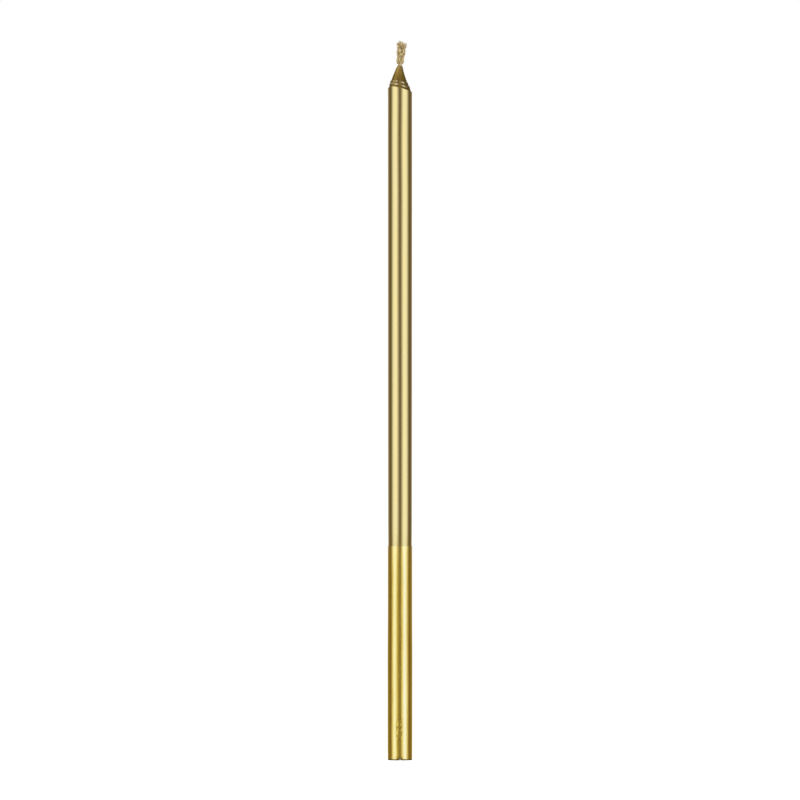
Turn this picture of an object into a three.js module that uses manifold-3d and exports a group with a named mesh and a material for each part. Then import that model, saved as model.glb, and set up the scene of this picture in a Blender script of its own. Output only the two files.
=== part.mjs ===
// A long slim birthday candle: a wax stick round a plied cotton wick, with a bright gold coat, a bronze
// gold film on its drawn-out tip, and a wrap of gold foil round its lower end.
// Millimetres, +Z up. The origin is the centre of the candle's base, and the front faces -Y.

import * as THREE from "three";
import { mergeVertices } from "three/addons/utils/BufferGeometryUtils.js";
import Module from "manifold-3d";

// The stick
const bodyDiameter = 4.1; // over the gold coat
const bodyLength = 116.6; // base to shoulder
const coatThickness = 0.12;
const coatFootRound = 0.1; // the coat's lower edge, which the foil is folded round
const seatGap = 0.02; // between any two layers

// The shoulder: an uneven edge, left where the tip was drawn out
const shoulderRound = 0.08;
const shoulderTilt = 0.32; // its left stands this much above its middle, and its right this much below
const shoulderFront = 0.2; // the same for its front and its back
const shoulderWave = 0.12; // the two shallow waves that run round it
const coatRunIn = 0.6; // how far below the shoulder the wax starts to draw in

// The tip
const coneLength = 4.1; // shoulder to the mouth that the wick leaves by
const coneStep = 0.02; // how far the tip's foot stands in from the shoulder's rounded edge
const tipThickness = 0.1; // the tip's own film
const mouthRim = 0.06; // the same, at the mouth
const mouthLip = 0.35; // length below the mouth that is film alone, without wax
const mouthShift = 0.03; // how far the mouth is drawn out to the left
const coneBow = 0.12; // how far the tip's middle bows out to the left of that
const coneHollow = 0.04; // how far its side curves in between the foot and the mouth
const beadCount = 2; // wrinkles of film above the shoulder
const beadStart = 0.4; // level above the shoulder at which they begin
const beadHeight = 0.55;
const beadProud = 0.075;
const beadFade = 0.3; // share that each wrinkle is lower than the one before
const beadWave = 0.5; // share of a wrinkle that comes and goes round the stick

// The wick
const wickReach = 4.3; // bare wick above the mouth
const wickPlies = 4;
const wickLay = 5.5; // length of one turn of the plies, which wind left-handed
const plyDiameter = 0.28; // squeezed in the wax
const barePlyDiameter = 0.525; // where it is free to swell
const plyGap = 0.02; // between two plies
const swellLength = 0.8; // length over which a ply swells above the mouth
const wickLean = 5; // degrees, to the right
const tuftLength = 3.6; // length at the top in which the wick comes loose
const tuftSpread = 0.13; // how much further out each ply's end stands
const tuftFlare = 0.3; // share of its width that a ply's end gains
const plyDrop = 0.4; // how much lower than the tallest ply the others end
const topPlyAngle = 136; // degrees from the right, anticlockwise, at which the tallest ply ends

// The foil wrap
const sleeveLength = 37.2;
const foilThickness = 0.05;
const foilLap = 40; // degrees of foil that lie over its first edge, at the back
const lapRamp = 12; // degrees in which the foil climbs on to itself
const lapEdge = 2; // degrees in which it steps down again, at its cut edge
const hemWidth = 0.7; // foil turned in under the base
const nickWidth = 0.5; // gap in the hem at the front
const nickHeight = 0.3;

// How finely round shapes are cut
const sideCount = 48;
const arcSteps = 4;
const beadSteps = 4;
const coneSteps = 5;
const lapSteps = 5;
const rampSteps = 2;
const plySides = 6;
const waxedPlySteps = 8; // per turn
const barePlySteps = 16; // per turn
const laySamples = 50; // places at which the distance between two plies is measured
const layPrecision = 0.002; // of the plies' radius of lay

const fullTurn = 2 * Math.PI;
const backAngle = Math.PI / 2;
const radians = THREE.MathUtils.degToRad;
const mix = THREE.MathUtils.lerp;
const riseBetween = THREE.MathUtils.smoothstep; // a smooth rise from 0 to 1: (value, low, high)

const bodyRadius = bodyDiameter / 2;
const coreRadius = bodyRadius - coatThickness - seatGap;
const footRound = Math.min(coatFootRound, coatThickness);
const foilLayer = foilThickness + seatGap;
const baseHeight = foilLayer; // the coat and the wax stand on the hem
const mouthHeight = bodyLength + coneLength;
const wickTop = mouthHeight + wickReach;

// Evenly spaced values, both ends included.
const spaced = (from, to, steps) => Array.from({ length: steps + 1 }, (_, i) => mix(from, to, i / steps));

// Point at a radius, an angle and a height.
const polar = (radius, angle, height) =>
  new THREE.Vector3(radius * Math.cos(angle), radius * Math.sin(angle), height);

// The axis that everything is wound round: straight up to the shoulder, then drawn out to the left.
const axisAt = (height) => {
  const share = THREE.MathUtils.clamp((height - bodyLength) / coneLength, 0, 1);
  return new THREE.Vector3(-mouthShift * share - coneBow * Math.sin(Math.PI * share), 0, 0);
};

// Quarter circle as [radius, height] pairs, from one angle to another round a centre.
const arc = (centreRadius, centreHeight, radius, from, to) =>
  spaced(radians(from), radians(to), arcSteps).map((a) => [
    centreRadius + radius * Math.cos(a),
    centreHeight + radius * Math.sin(a),
  ]);

// Closed body through a row of like loops of points: a ring of them, or a run with capped ends.
function loft(loops, isRing) {
  const size = loops[0].length;
  const faces = [];
  const bands = isRing ? loops.length : loops.length - 1;
  for (let i = 0; i < bands; i++) {
    const here = i * size;
    const next = ((i + 1) % loops.length) * size;
    for (let a = 0; a < size; a++) {
      const b = (a + 1) % size;
      faces.push(here + a, here + b, next + b, here + a, next + b, next + a);
    }
  }
  if (!isRing) {
    const last = bands * size;
    for (let k = 1; k < size - 1; k++) faces.push(0, k + 1, k, last, last + k, last + k + 1);
  }
  const points = loops.flat();
  let volume = 0;
  for (let k = 0; k < faces.length; k += 3) {
    const [a, b, c] = [points[faces[k]], points[faces[k + 1]], points[faces[k + 2]]];
    volume += a.dot(b.clone().cross(c));
  }
  if (volume < 0) faces.reverse();
  const geometry = new THREE.BufferGeometry().setFromPoints(points);
  geometry.setIndex(faces);
  return geometry;
}

// Body round the axis, from its outline at each angle: a closed loop of [radius, height] pairs.
function wound(outlineAt, angles = spaced(0, fullTurn, sideCount).slice(0, -1)) {
  const loopAt = (angle) => outlineAt(angle).map(([r, z]) => polar(r, angle, z).add(axisAt(z)));
  return loft(angles.map(loopAt), true);
}

// Turns a pair's level above the shoulder into a height. The shoulder's unevenness dies out up and down.
const onShoulder = (angle) => ([radius, level]) => {
  const reach = level > 0 ? coneLength : 2 * coatRunIn;
  const uneven =
    shoulderWave * (Math.sin(2 * angle) - Math.cos(2 * angle)) -
    shoulderTilt * Math.cos(angle) -
    shoulderFront * Math.sin(angle);
  return [radius, bodyLength + level + uneven * (1 - Math.abs(level) / reach)];
};

// The least radius of lay at which plies of a diameter don't touch, when cut in so many steps per turn.
function layRadius(diameter, stepsPerTurn) {
  const apart = (radius) => {
    const gaps = spaced(-1 / 4, 0, laySamples).map((turn) =>
      Math.hypot(2 * radius * Math.sin(Math.PI * (1 / wickPlies + turn)), turn * wickLay),
    );
    return Math.min(...gaps) * Math.cos(Math.PI / stepsPerTurn);
  };
  let radius = (diameter + plyGap) / 2;
  while (apart(radius) < diameter + plyGap) radius += layPrecision;
  return radius;
}

const waxedLay = layRadius(plyDiameter, waxedPlySteps);
const bareLay = layRadius(barePlyDiameter, barePlySteps);
const boreRadius = waxedLay + plyDiameter / 2 + seatGap;

// Radius of the tip's plain cone at a level, under its wrinkles.
const footLevel = seatGap;
const footRadius = bodyRadius - shoulderRound - coneStep;
const mouthRadius = boreRadius + mouthRim;
const coneRadius = (level) => {
  const share = (level - footLevel) / (coneLength - footLevel);
  return mix(footRadius, mouthRadius, share) - coneHollow * Math.sin(Math.PI * share);
};
const filmInside = (level) => [coneRadius(level) - tipThickness, level];
const waxOutside = (level) => [coneRadius(level) - tipThickness - seatGap, level];
const waxTop = coneLength - mouthLip;
const coneLevels = spaced(footLevel, waxTop, coneSteps);

function waxCore() {
  return wound((angle) => [
    [boreRadius, baseHeight],
    [coreRadius, baseHeight],
    ...[
      [coreRadius, -coatRunIn],
      ...coneLevels.map(waxOutside),
      ...coneLevels.map((level) => [boreRadius, level]).reverse(),
    ].map(onShoulder(angle)),
    [boreRadius, bodyLength - coatRunIn],
  ]);
}

function goldCoat() {
  const innerRadius = coreRadius + seatGap;
  return wound((angle) => [
    [innerRadius, baseHeight],
    ...arc(bodyRadius - footRound, baseHeight + footRound, footRound, -90, 0),
    ...[
      [bodyRadius, -coatRunIn],
      ...arc(bodyRadius - shoulderRound, -shoulderRound, shoulderRound, 0, 90),
      [filmInside(footLevel)[0], 0],
      [innerRadius, -coatRunIn],
    ].map(onShoulder(angle)),
  ]);
}

// How far the wrinkles stand out at a level. Each comes and goes round the stick in its own places.
function beadAt(level, angle) {
  const rise = (level - beadStart) / beadHeight;
  const bead = Math.floor(rise);
  if (bead < 0 || bead >= beadCount) return 0;
  const share = 1 - beadWave * (0.5 + 0.5 * Math.sin((bead + 2) * (angle + bead)));
  return beadProud * (1 - beadFade) ** bead * share * Math.sin(Math.PI * (rise - bead));
}

function tipCoat() {
  const beadTop = beadStart + beadCount * beadHeight;
  const beadLevels = spaced(beadStart, beadTop, beadCount * beadSteps);
  const levels = [footLevel, ...beadLevels, ...spaced(beadTop, coneLength, coneSteps).slice(1)];
  const stepLevel = waxTop + seatGap;
  return wound((angle) =>
    [
      ...levels.map((level) => [coneRadius(level) + beadAt(level, angle), level]),
      [boreRadius, coneLength],
      [boreRadius, stepLevel],
      filmInside(stepLevel),
      ...coneLevels.slice(0, -1).map(filmInside).reverse(),
    ].map(onShoulder(angle)),
  );
}

// Middle of the wick: it follows the axis to the mouth and then leans over.
function wickMiddle(height) {
  const middle = axisAt(height).setZ(height);
  middle.x += Math.max(0, height - mouthHeight) * Math.tan(radians(wickLean));
  return middle;
}

function wickPly(index) {
  const top = index ? wickTop - plyDrop : wickTop;
  const endAngle = radians(topPlyAngle) + (index / wickPlies) * fullTurn;
  const swell = (height) => riseBetween(height, mouthHeight, mouthHeight + swellLength);
  const tuft = (height) => riseBetween(height, top - tuftLength, top);

  const middleAt = (height) => {
    const radius = mix(waxedLay, bareLay, swell(height)) + tuftSpread * tuft(height);
    const angle = endAngle + ((wickTop - height) / wickLay) * fullTurn;
    return wickMiddle(height).add(polar(radius, angle, 0));
  };
  const sectionAt = (height) => {
    const middle = middleAt(height);
    const outward = middle.clone().sub(wickMiddle(height)).normalize();
    const along = new THREE.Vector3(0, 0, 1); // the ends are cut level
    if (height > baseHeight && height < top) {
      const step = wickLay / barePlySteps / 2;
      along.subVectors(middleAt(height + step), middleAt(height - step)).normalize();
    }
    const side = along.clone().cross(outward).normalize();
    const out = side.clone().cross(along);
    const radius = (mix(plyDiameter, barePlyDiameter, swell(height)) / 2) * (1 + tuftFlare * tuft(height));
    const corner = (a) =>
      middle.clone().addScaledVector(out, radius * Math.cos(a)).addScaledVector(side, radius * Math.sin(a));
    return spaced(0, fullTurn, plySides).slice(0, -1).map(corner);
  };

  const stepsIn = (length, perTurn) => Math.ceil((length / wickLay) * perTurn);
  const waxed = spaced(baseHeight, mouthHeight, stepsIn(mouthHeight - baseHeight, waxedPlySteps));
  const bare = spaced(mouthHeight, top, stepsIn(top - mouthHeight, barePlySteps));
  return loft([...waxed, ...bare.slice(1)].map(sectionAt), false);
}

// One sheet of foil as a closed sleeve, doubled where it laps at the back and turned in under the base.
function foilSleeve() {
  const lapStart = fullTurn - radians(foilLap);
  const rampStart = lapStart - radians(lapRamp);
  const firstEdge = backAngle + radians(foilLap) / 2;
  const wallStart = baseHeight + footRound;
  const skin = (offset) => [
    [bodyRadius - hemWidth, baseHeight - offset],
    ...arc(bodyRadius - footRound, wallStart, footRound + offset, -90, 0),
    [bodyRadius + offset, sleeveLength],
  ];
  const outlineAt = (angle) => {
    const climb = foilThickness * riseBetween(angle - firstEdge, rampStart, lapStart);
    const outside = skin(foilLayer).map(([r, z]) => [r + climb * Math.min(1, z / wallStart), z]);
    return [...outside, ...skin(seatGap).reverse()];
  };
  const turns = [
    ...spaced(0, rampStart, sideCount),
    ...spaced(rampStart, lapStart, rampSteps).slice(1),
    ...spaced(lapStart, fullTurn - radians(lapEdge), lapSteps).slice(1),
  ];
  return wound(outlineAt, turns.map((turn) => firstEdge + turn));
}

// A mesh as a solid that can be cut, and back.
function solidOf(geometry) {
  const plain = geometry.clone();
  plain.deleteAttribute("normal");
  plain.deleteAttribute("uv");
  const { attributes, index } = mergeVertices(plain, 1e-4);
  const vertProperties = new Float32Array(attributes.position.array);
  const triVerts = new Uint32Array(index.array);
  return new wasm.Manifold(new wasm.Mesh({ numProp: 3, vertProperties, triVerts }));
}

function geometryOf(solid) {
  const { vertProperties, triVerts } = solid.getMesh();
  const geometry = new THREE.BufferGeometry();
  geometry.setAttribute("position", new THREE.BufferAttribute(new Float32Array(vertProperties), 3));
  geometry.setIndex(new THREE.BufferAttribute(new Uint32Array(triVerts), 1));
  return geometry;
}

// The nick in the hem at the front: an arch, cut from outside as far in as the hem goes.
function nickCutter() {
  const arch = new THREE.Shape();
  arch.moveTo(-nickWidth / 2, -foilLayer);
  arch.lineTo(nickWidth / 2, -foilLayer);
  arch.absellipse(0, foilLayer, nickWidth / 2, nickHeight - foilLayer, 0, Math.PI, false);
  const size = { depth: hemWidth + 3 * foilLayer, bevelEnabled: false, curveSegments: 2 * arcSteps };
  const cutter = new THREE.ExtrudeGeometry(arch, size);
  cutter.rotateX(Math.PI / 2);
  cutter.translate(0, hemWidth + foilLayer - bodyRadius, 0);
  return cutter;
}

const withNick = (geometry) => geometryOf(solidOf(geometry).subtract(solidOf(nickCutter())));

const finishes = {
  brightGold: { color: 0xf3e2a0, metalness: 1, roughness: 0.12 },
  bronzeGold: { color: 0xa8823c, metalness: 0.8, roughness: 0.35 },
  goldFoil: { color: 0xedc95c, metalness: 1, roughness: 0.2 },
  wax: { color: 0xf3ead2, metalness: 0, roughness: 0.5 },
  cotton: { color: 0xc8b27c, metalness: 0, roughness: 0.85 },
};

const wasm = await Module();
wasm.setup();

const candle = new THREE.Group();

function addPiece(name, finish, geometry) {
  geometry.computeVertexNormals();
  const mesh = new THREE.Mesh(geometry, new THREE.MeshStandardMaterial(finishes[finish]));
  mesh.name = name;
  candle.add(mesh);
}

addPiece("wax_core", "wax", waxCore());
addPiece("gold_coat", "brightGold", withNick(goldCoat()));
addPiece("tip_coat", "bronzeGold", tipCoat());
addPiece("foil_sleeve", "goldFoil", withNick(foilSleeve()));
for (let index = 0; index < wickPlies; index++) addPiece(`wick_ply_${index + 1}`, "cotton", wickPly(index));

export default candle;
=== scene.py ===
import math
import random

import bmesh
import bpy
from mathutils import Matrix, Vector, noise


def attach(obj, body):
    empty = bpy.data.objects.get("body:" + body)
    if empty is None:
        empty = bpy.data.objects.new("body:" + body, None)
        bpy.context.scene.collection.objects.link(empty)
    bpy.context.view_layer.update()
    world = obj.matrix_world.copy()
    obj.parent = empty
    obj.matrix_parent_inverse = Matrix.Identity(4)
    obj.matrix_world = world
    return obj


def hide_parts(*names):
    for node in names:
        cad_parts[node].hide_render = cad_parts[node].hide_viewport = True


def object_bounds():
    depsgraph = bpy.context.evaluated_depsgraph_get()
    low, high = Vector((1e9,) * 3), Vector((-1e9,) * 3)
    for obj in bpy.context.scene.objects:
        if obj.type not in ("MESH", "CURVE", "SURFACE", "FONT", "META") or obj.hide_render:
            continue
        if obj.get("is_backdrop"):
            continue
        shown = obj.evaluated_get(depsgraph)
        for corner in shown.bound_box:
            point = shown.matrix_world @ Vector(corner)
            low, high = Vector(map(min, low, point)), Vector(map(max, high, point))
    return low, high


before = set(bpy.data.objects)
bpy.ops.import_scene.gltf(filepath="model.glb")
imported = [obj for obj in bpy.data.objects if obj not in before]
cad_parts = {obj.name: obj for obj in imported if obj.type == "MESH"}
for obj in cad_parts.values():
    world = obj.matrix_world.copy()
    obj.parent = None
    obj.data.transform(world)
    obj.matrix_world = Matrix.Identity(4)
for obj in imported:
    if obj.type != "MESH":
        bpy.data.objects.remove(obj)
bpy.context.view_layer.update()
print("frame loaded:", ", ".join(sorted(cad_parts)))

mm = 0.001
fullTurn = 2 * math.pi
frontAngle = -math.pi / 2
backAngle = math.pi / 2
creaseAngle = 40  # degrees from which an edge is sharp
scene = bpy.context.scene

# The stick and its tip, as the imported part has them
stick = {
    "radius": 2.05,
    "length": 116.6,  # base to shoulder
    "coreRadius": 1.91,
    "coatInside": 1.93,
    "baseHeight": 0.07,  # the wax and the coat stand on the foil's hem
    "footRound": 0.1,
    "shoulderRound": 0.08,
    "shoulderTilt": 0.32,
    "shoulderFront": 0.2,
    "shoulderWave": 0.12,
    "runIn": 0.6,
    "coneLength": 4.1,
    "footLevel": 0.02,
    "footRadius": 1.95,
    "mouthRadius": 0.454,
    "mouthShift": 0.03,
    "bow": 0.12,  # how far the tip's middle bows to the left
    "hollow": 0.04,  # how far its side curves in
    # Heights and how much the radius is over its plain size there, which only this scene has
    "swell": [(0, 0), (3, 0.015), (18, 0.015), (28, -0.02), (37, -0.02), (42, 0), (70, 0.02), (116, 0.035)],
}
mouthHeight = stick["length"] + stick["coneLength"]


def mix(a, b, t):
    return a + (b - a) * t


def riseBetween(value, low, high):
    t = min(max((value - low) / (high - low), 0), 1)
    return t * t * (3 - 2 * t)


def hump(value, middle, halfWidth):
    return riseBetween(halfWidth - abs(value - middle), 0, halfWidth)


def spaced(start, end, steps):
    return [mix(start, end, i / steps) for i in range(steps + 1)]


def ringAngles(count):
    return [fullTurn * i / count for i in range(count)]


def polar(radius, angle, height):
    return Vector((radius * math.cos(angle), radius * math.sin(angle), height))


# Middle of the stick and its tip, which is drawn out and bowed to the left
def axisAt(height):
    share = min(max((height - stick["length"]) / stick["coneLength"], 0), 1)
    return Vector((-stick["mouthShift"] * share - stick["bow"] * math.sin(math.pi * share), 0, 0))


# Turns a level above the shoulder into a height, with the shoulder's unevenness dying out up and down
def onShoulder(level, angle):
    reach = stick["coneLength"] if level > 0 else 2 * stick["runIn"]
    uneven = (
        stick["shoulderWave"] * (math.sin(2 * angle) - math.cos(2 * angle))
        - stick["shoulderTilt"] * math.cos(angle)
        - stick["shoulderFront"] * math.sin(angle)
    )
    return stick["length"] + level + uneven * max(0, 1 - abs(level) / reach)


def coneRadius(level):
    share = (level - stick["footLevel"]) / (stick["coneLength"] - stick["footLevel"])
    straight = mix(stick["footRadius"], stick["mouthRadius"], share)
    return straight - stick["hollow"] * math.sin(math.pi * share)


# How far the stick's radius is off at a height: a little slimmer where the foil's upper end grips it
def bodySwell(height):
    places = stick["swell"]
    for (low, first), (high, second) in zip(places, places[1:]):
        if height <= high:
            return mix(first, second, riseBetween(height, low, high))
    return places[-1][1]


# Noise over the stick's skin: how deep it is, how finely it changes round it, and its length along it
def skinNoise(angle, height, depth, fineness, length):
    place = Vector((fineness * math.cos(angle), fineness * math.sin(angle), height / length))
    return depth * noise.noise(place)


# Arc as (radius, height) pairs round a centre, pressed in across it by a dent
def arc(centreRadius, centreHeight, radius, start, end, steps, dent=0):
    turns = spaced(math.radians(start), math.radians(end), steps)
    across = radius - dent
    return [(centreRadius + across * math.cos(a), centreHeight + radius * math.sin(a)) for a in turns]


def addMesh(name, points, faces, sharpAngle=creaseAngle):
    mesh = bpy.data.meshes.new(name)
    mesh.from_pydata([p * mm for p in points], [], faces)
    work = bmesh.new()
    work.from_mesh(mesh)
    bmesh.ops.recalc_face_normals(work, faces=work.faces)
    work.to_mesh(mesh)
    work.free()
    mesh.shade_smooth()
    mesh.set_sharp_from_angle(angle=math.radians(sharpAngle))
    piece = bpy.data.objects.new(name, mesh)
    scene.collection.objects.link(piece)
    return piece


# Closed shell round the stick, from its outline at each angle: a closed loop of (radius, height) pairs
def wound(name, outlineAt, angles):
    points = []
    for angle in angles:
        points += [polar(r, angle, z) + axisAt(z) for r, z in outlineAt(angle)]
    size = len(points) // len(angles)
    faces = []
    for i in range(len(angles)):
        here = i * size
        there = (i + 1) % len(angles) * size
        faces += [(here + a, there + a, there + (a + 1) % size, here + (a + 1) % size) for a in range(size)]
    return addMesh(name, points, faces)


# Closed tube through rings of points, with its two ends capped
def tubeFaces(rings, firstPoint):
    sides = len(rings[0])
    faces = [tuple(firstPoint + k for k in reversed(range(sides)))]
    for i in range(len(rings) - 1):
        here = firstPoint + i * sides
        for k in range(sides):
            after = (k + 1) % sides
            faces.append((here + k, here + after, here + sides + after, here + sides + k))
    last = firstPoint + (len(rings) - 1) * sides
    faces.append(tuple(last + k for k in range(sides)))
    return faces


# Materials
def addNode(tree, kind, settings=None, **values):
    node = tree.nodes.new(kind)
    for key, value in (settings or {}).items():
        setattr(node, key, value)
    for key, value in values.items():
        node.inputs[key].default_value = value
    return node


def mathNode(tree, operation, first, second=None, third=None):
    node = tree.nodes.new("ShaderNodeMath")
    node.operation = operation
    for i, value in enumerate((first, second, third)):
        if isinstance(value, bpy.types.NodeSocket):
            tree.links.new(value, node.inputs[i])
        elif value is not None:
            node.inputs[i].default_value = value
    return node.outputs[0]


def colour(r, g, b):
    return (r, g, b, 1)


def newGroup(name, inputs, outputs):
    group = bpy.data.node_groups.new(name, "ShaderNodeTree")
    for label, kind, value in inputs:
        socket = group.interface.new_socket(name=label, in_out="INPUT", socket_type="NodeSocket" + kind)
        socket.default_value = value
    for label, kind in outputs:
        group.interface.new_socket(name=label, in_out="OUTPUT", socket_type="NodeSocket" + kind)
    return group, group.nodes.new("NodeGroupInput"), group.nodes.new("NodeGroupOutput")


# Place on the piece in steps of a size in millimetres, drawn out along the stick
def grainPlace(tree, size, stretch):
    coordinates = addNode(tree, "ShaderNodeTexCoord")
    across = mathNode(tree, "DIVIDE", 1 / mm, size)
    along = mathNode(tree, "DIVIDE", across, stretch)
    scale = addNode(tree, "ShaderNodeCombineXYZ")
    place = addNode(tree, "ShaderNodeVectorMath", {"operation": "MULTIPLY"})
    tree.links.new(across, scale.inputs["X"])
    tree.links.new(across, scale.inputs["Y"])
    tree.links.new(along, scale.inputs["Z"])
    tree.links.new(coordinates.outputs["Object"], place.inputs[0])
    tree.links.new(scale.outputs[0], place.inputs[1])
    return place.outputs[0]


# Fine speckle between a low and a high value
def makeGrain():
    sizes = {"Size": 0.3, "Stretch": 1, "Detail": 3, "Low": 0, "High": 1}
    inputs = [(label, "Float", value) for label, value in sizes.items()]
    group, given, result = newGroup("fineGrain", inputs, [("Value", "Float")])
    place = grainPlace(group, given.outputs["Size"], given.outputs["Stretch"])
    speckle = addNode(group, "ShaderNodeTexNoise", Scale=1, Roughness=0.55)
    spread = addNode(group, "ShaderNodeMapRange", **{"From Min": 0.3, "From Max": 0.7})
    group.links.new(place, speckle.inputs["Vector"])
    group.links.new(given.outputs["Detail"], speckle.inputs["Detail"])
    group.links.new(speckle.outputs["Fac"], spread.inputs["Value"])
    group.links.new(given.outputs["Low"], spread.inputs["To Min"])
    group.links.new(given.outputs["High"], spread.inputs["To Max"])
    group.links.new(spread.outputs["Result"], result.inputs["Value"])
    return group


# Tint that drifts between two tones
def makeTintDrift():
    inputs = [(label, "Color", colour(1, 1, 1)) for label in ("First", "Second")]
    inputs += [(label, "Float", 1) for label in ("Size", "Stretch")]
    group, given, result = newGroup("tintDrift", inputs, [("Colour", "Color")])
    place = grainPlace(group, given.outputs["Size"], given.outputs["Stretch"])
    cloud = addNode(group, "ShaderNodeTexNoise", Scale=1, Detail=2, Roughness=0.5)
    share = addNode(group, "ShaderNodeMapRange", **{"From Min": 0.32, "From Max": 0.68})
    blend = addNode(group, "ShaderNodeMix", {"data_type": "RGBA"})
    group.links.new(place, cloud.inputs["Vector"])
    group.links.new(cloud.outputs["Fac"], share.inputs["Value"])
    group.links.new(share.outputs["Result"], blend.inputs["Factor"])
    group.links.new(given.outputs["First"], blend.inputs["A"])
    group.links.new(given.outputs["Second"], blend.inputs["B"])
    group.links.new(blend.outputs["Result"], result.inputs["Colour"])
    return group


grain = makeGrain()
tintDrift = makeTintDrift()


def useGroup(tree, group, **values):
    node = tree.nodes.new("ShaderNodeGroup")
    node.node_tree = group
    for key, value in values.items():
        node.inputs[key].default_value = value
    return node.outputs[0]


def newMaterial(name, **values):
    material = bpy.data.materials.new(name)
    material.use_nodes = True
    shader = material.node_tree.nodes["Principled BSDF"]
    for key, value in values.items():
        shader.inputs[key].default_value = value
    return material, material.node_tree, shader


# Runs through tones by a value from 0 to 1, given as (place, tone) pairs
def toneRamp(tree, value, tones):
    ramp = addNode(tree, "ShaderNodeValToRGB")
    elements = ramp.color_ramp.elements
    while len(elements) < len(tones):
        elements.new(0.5)
    for element, (place, tone) in zip(elements, tones):
        element.position = place
        element.color = colour(*tone)
    tree.links.new(value, ramp.inputs["Fac"])
    return ramp.outputs["Color"]


def addBump(tree, shader, height, distance):
    bump = addNode(tree, "ShaderNodeBump", Strength=1, Distance=distance * mm)
    tree.links.new(height, bump.inputs["Height"])
    tree.links.new(bump.outputs["Normal"], shader.inputs["Normal"])


def roughGrain(tree, look):
    size, stretch = look["roughGrain"]
    low, high = look["roughness"]
    return useGroup(tree, grain, Size=size, Stretch=stretch, Low=low, High=high)


def addRelief(tree, shader, look):
    size, stretch, detail, depth = look["relief"]
    addBump(tree, shader, useGroup(tree, grain, Size=size, Stretch=stretch, Detail=detail), depth)


# Tint, roughness and relief of a finish with two tones
def addFinish(tree, shader, look):
    size, stretch = look["tintGrain"]
    tint = useGroup(tree, tintDrift, First=look["first"], Second=look["second"], Size=size, Stretch=stretch)
    tree.links.new(tint, shader.inputs["Base Color"])
    tree.links.new(roughGrain(tree, look), shader.inputs["Roughness"])
    addRelief(tree, shader, look)


def finish(piece, material, slot, *nodes):
    piece.data.materials.clear()
    piece.data.materials.append(material)
    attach(piece, "root")
    if nodes:
        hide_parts(*nodes)
    print(piece.name, "made,", len(piece.data.polygons), "faces")


# The nick in the hem, cut through foil and coat at the front
nick = {
    "width": 0.5,
    "height": 0.3,
    "depth": 1.2,
    "clear": (0.3, 0.1),  # how far the cutter stands out in front of the wall and below the base
    "steps": 14,
    "dent": 0.06,  # how far the wall is pressed in round the nick
    "dentTop": 0.85,
    "dentHalf": 26,  # half width in degrees
}


# The wall is pressed in a little round the nick
def nickDent(angle, height=0):
    away = math.remainder(angle - frontAngle, fullTurn)
    side = hump(away, 0, math.radians(nick["dentHalf"]))
    return nick["dent"] * side * (1 - riseBetween(height, stick["footRound"], nick["dentTop"]))


def makeNickCutter():
    layer = stick["baseHeight"]
    half = nick["width"] / 2
    ahead, below = nick["clear"]
    arch = [(-half, -below), (half, -below)]
    for turn in spaced(0, math.pi, nick["steps"]):
        arch.append((half * math.cos(turn), layer + (nick["height"] - layer) * math.sin(turn)))
    front = -stick["radius"] - ahead
    points = [Vector((x, y, z)) for y in (front, front + nick["depth"]) for x, z in arch]
    faces = tubeFaces([points[: len(arch)], points[len(arch) :]], 0)
    cutter = addMesh("nickCutter", points, faces)
    cutter.hide_render = True
    return cutter


def cutNick(piece, cutter):
    cut = piece.modifiers.new("nick", "BOOLEAN")
    cut.object = cutter
    cut.operation = "DIFFERENCE"
    cut.solver = "EXACT"
    bpy.context.view_layer.update()
    evaluated = piece.evaluated_get(bpy.context.evaluated_depsgraph_get())
    mesh = bpy.data.meshes.new_from_object(evaluated)
    piece.modifiers.clear()
    piece.data = mesh
    mesh.shade_smooth()
    mesh.set_sharp_from_angle(angle=math.radians(creaseAngle))


nickCutter = makeNickCutter()

# The gold coat
coat = {
    "segments": 192,
    "ringStep": 1.0,  # between rings up the wall
    "waver": (0.006, 1.3, 22),  # slow unevenness of the wall, as skinNoise takes it
    # Height, half length and depth of the stretches that are out of round
    "rolls": [(107, 9, -0.024), (50, 26, 0.012)],
    "wallEnd": 0.4,  # how far below the film's run-in the even rings end
    "edgeLevels": (-0.8, -0.6, -0.4, -0.2),  # rings from there to the shoulder's edge, which follow it
    "edgeSteps": 8,
    "footSteps": 4,
    "underFilm": 0.1,  # how far the shoulder reaches in under the film
}


def coatRadius(angle, height):
    radius = stick["radius"] + bodySwell(height) + skinNoise(angle, height, *coat["waver"])
    for middle, halfLength, depth in coat["rolls"]:
        radius += depth * hump(height, middle, halfLength) * math.sin(2 * (angle - frontAngle))
    return radius - nickDent(angle, height)


def coatOutline(angle):
    foot = stick["footRound"]
    base = stick["baseHeight"]
    wallTop = stick["length"] - stick["runIn"] - coat["wallEnd"]
    steps = round((wallTop - base - foot) / coat["ringStep"])
    outline = [(stick["coatInside"], base)]
    outline += arc(stick["radius"] - foot, base + foot, foot, -90, 0, coat["footSteps"], nickDent(angle))
    outline += [(coatRadius(angle, z), z) for z in spaced(base + foot, wallTop, steps)[1:]]
    edge = stick["shoulderRound"]
    wall = stick["radius"] + bodySwell(wallTop)
    levels = [(wall, level) for level in coat["edgeLevels"]]
    levels += arc(wall - edge, -edge, edge, 0, 90, coat["edgeSteps"])
    levels += [(stick["footRadius"] - coat["underFilm"], 0), (stick["coatInside"], -stick["runIn"])]
    outline += [(r, onShoulder(level, angle)) for r, level in levels]
    return outline


brightGold = {
    "first": colour(0.762, 0.647, 0.32),
    "second": colour(0.775, 0.655, 0.3),
    "tintGrain": (1.4, 6),  # size in millimetres, and stretch along the stick
    "roughness": (0.12, 0.17),
    "roughGrain": (0.5, 2),
    "relief": (0.35, 1.5, 2, 0.0015),  # size, stretch, detail and depth
}


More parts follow.
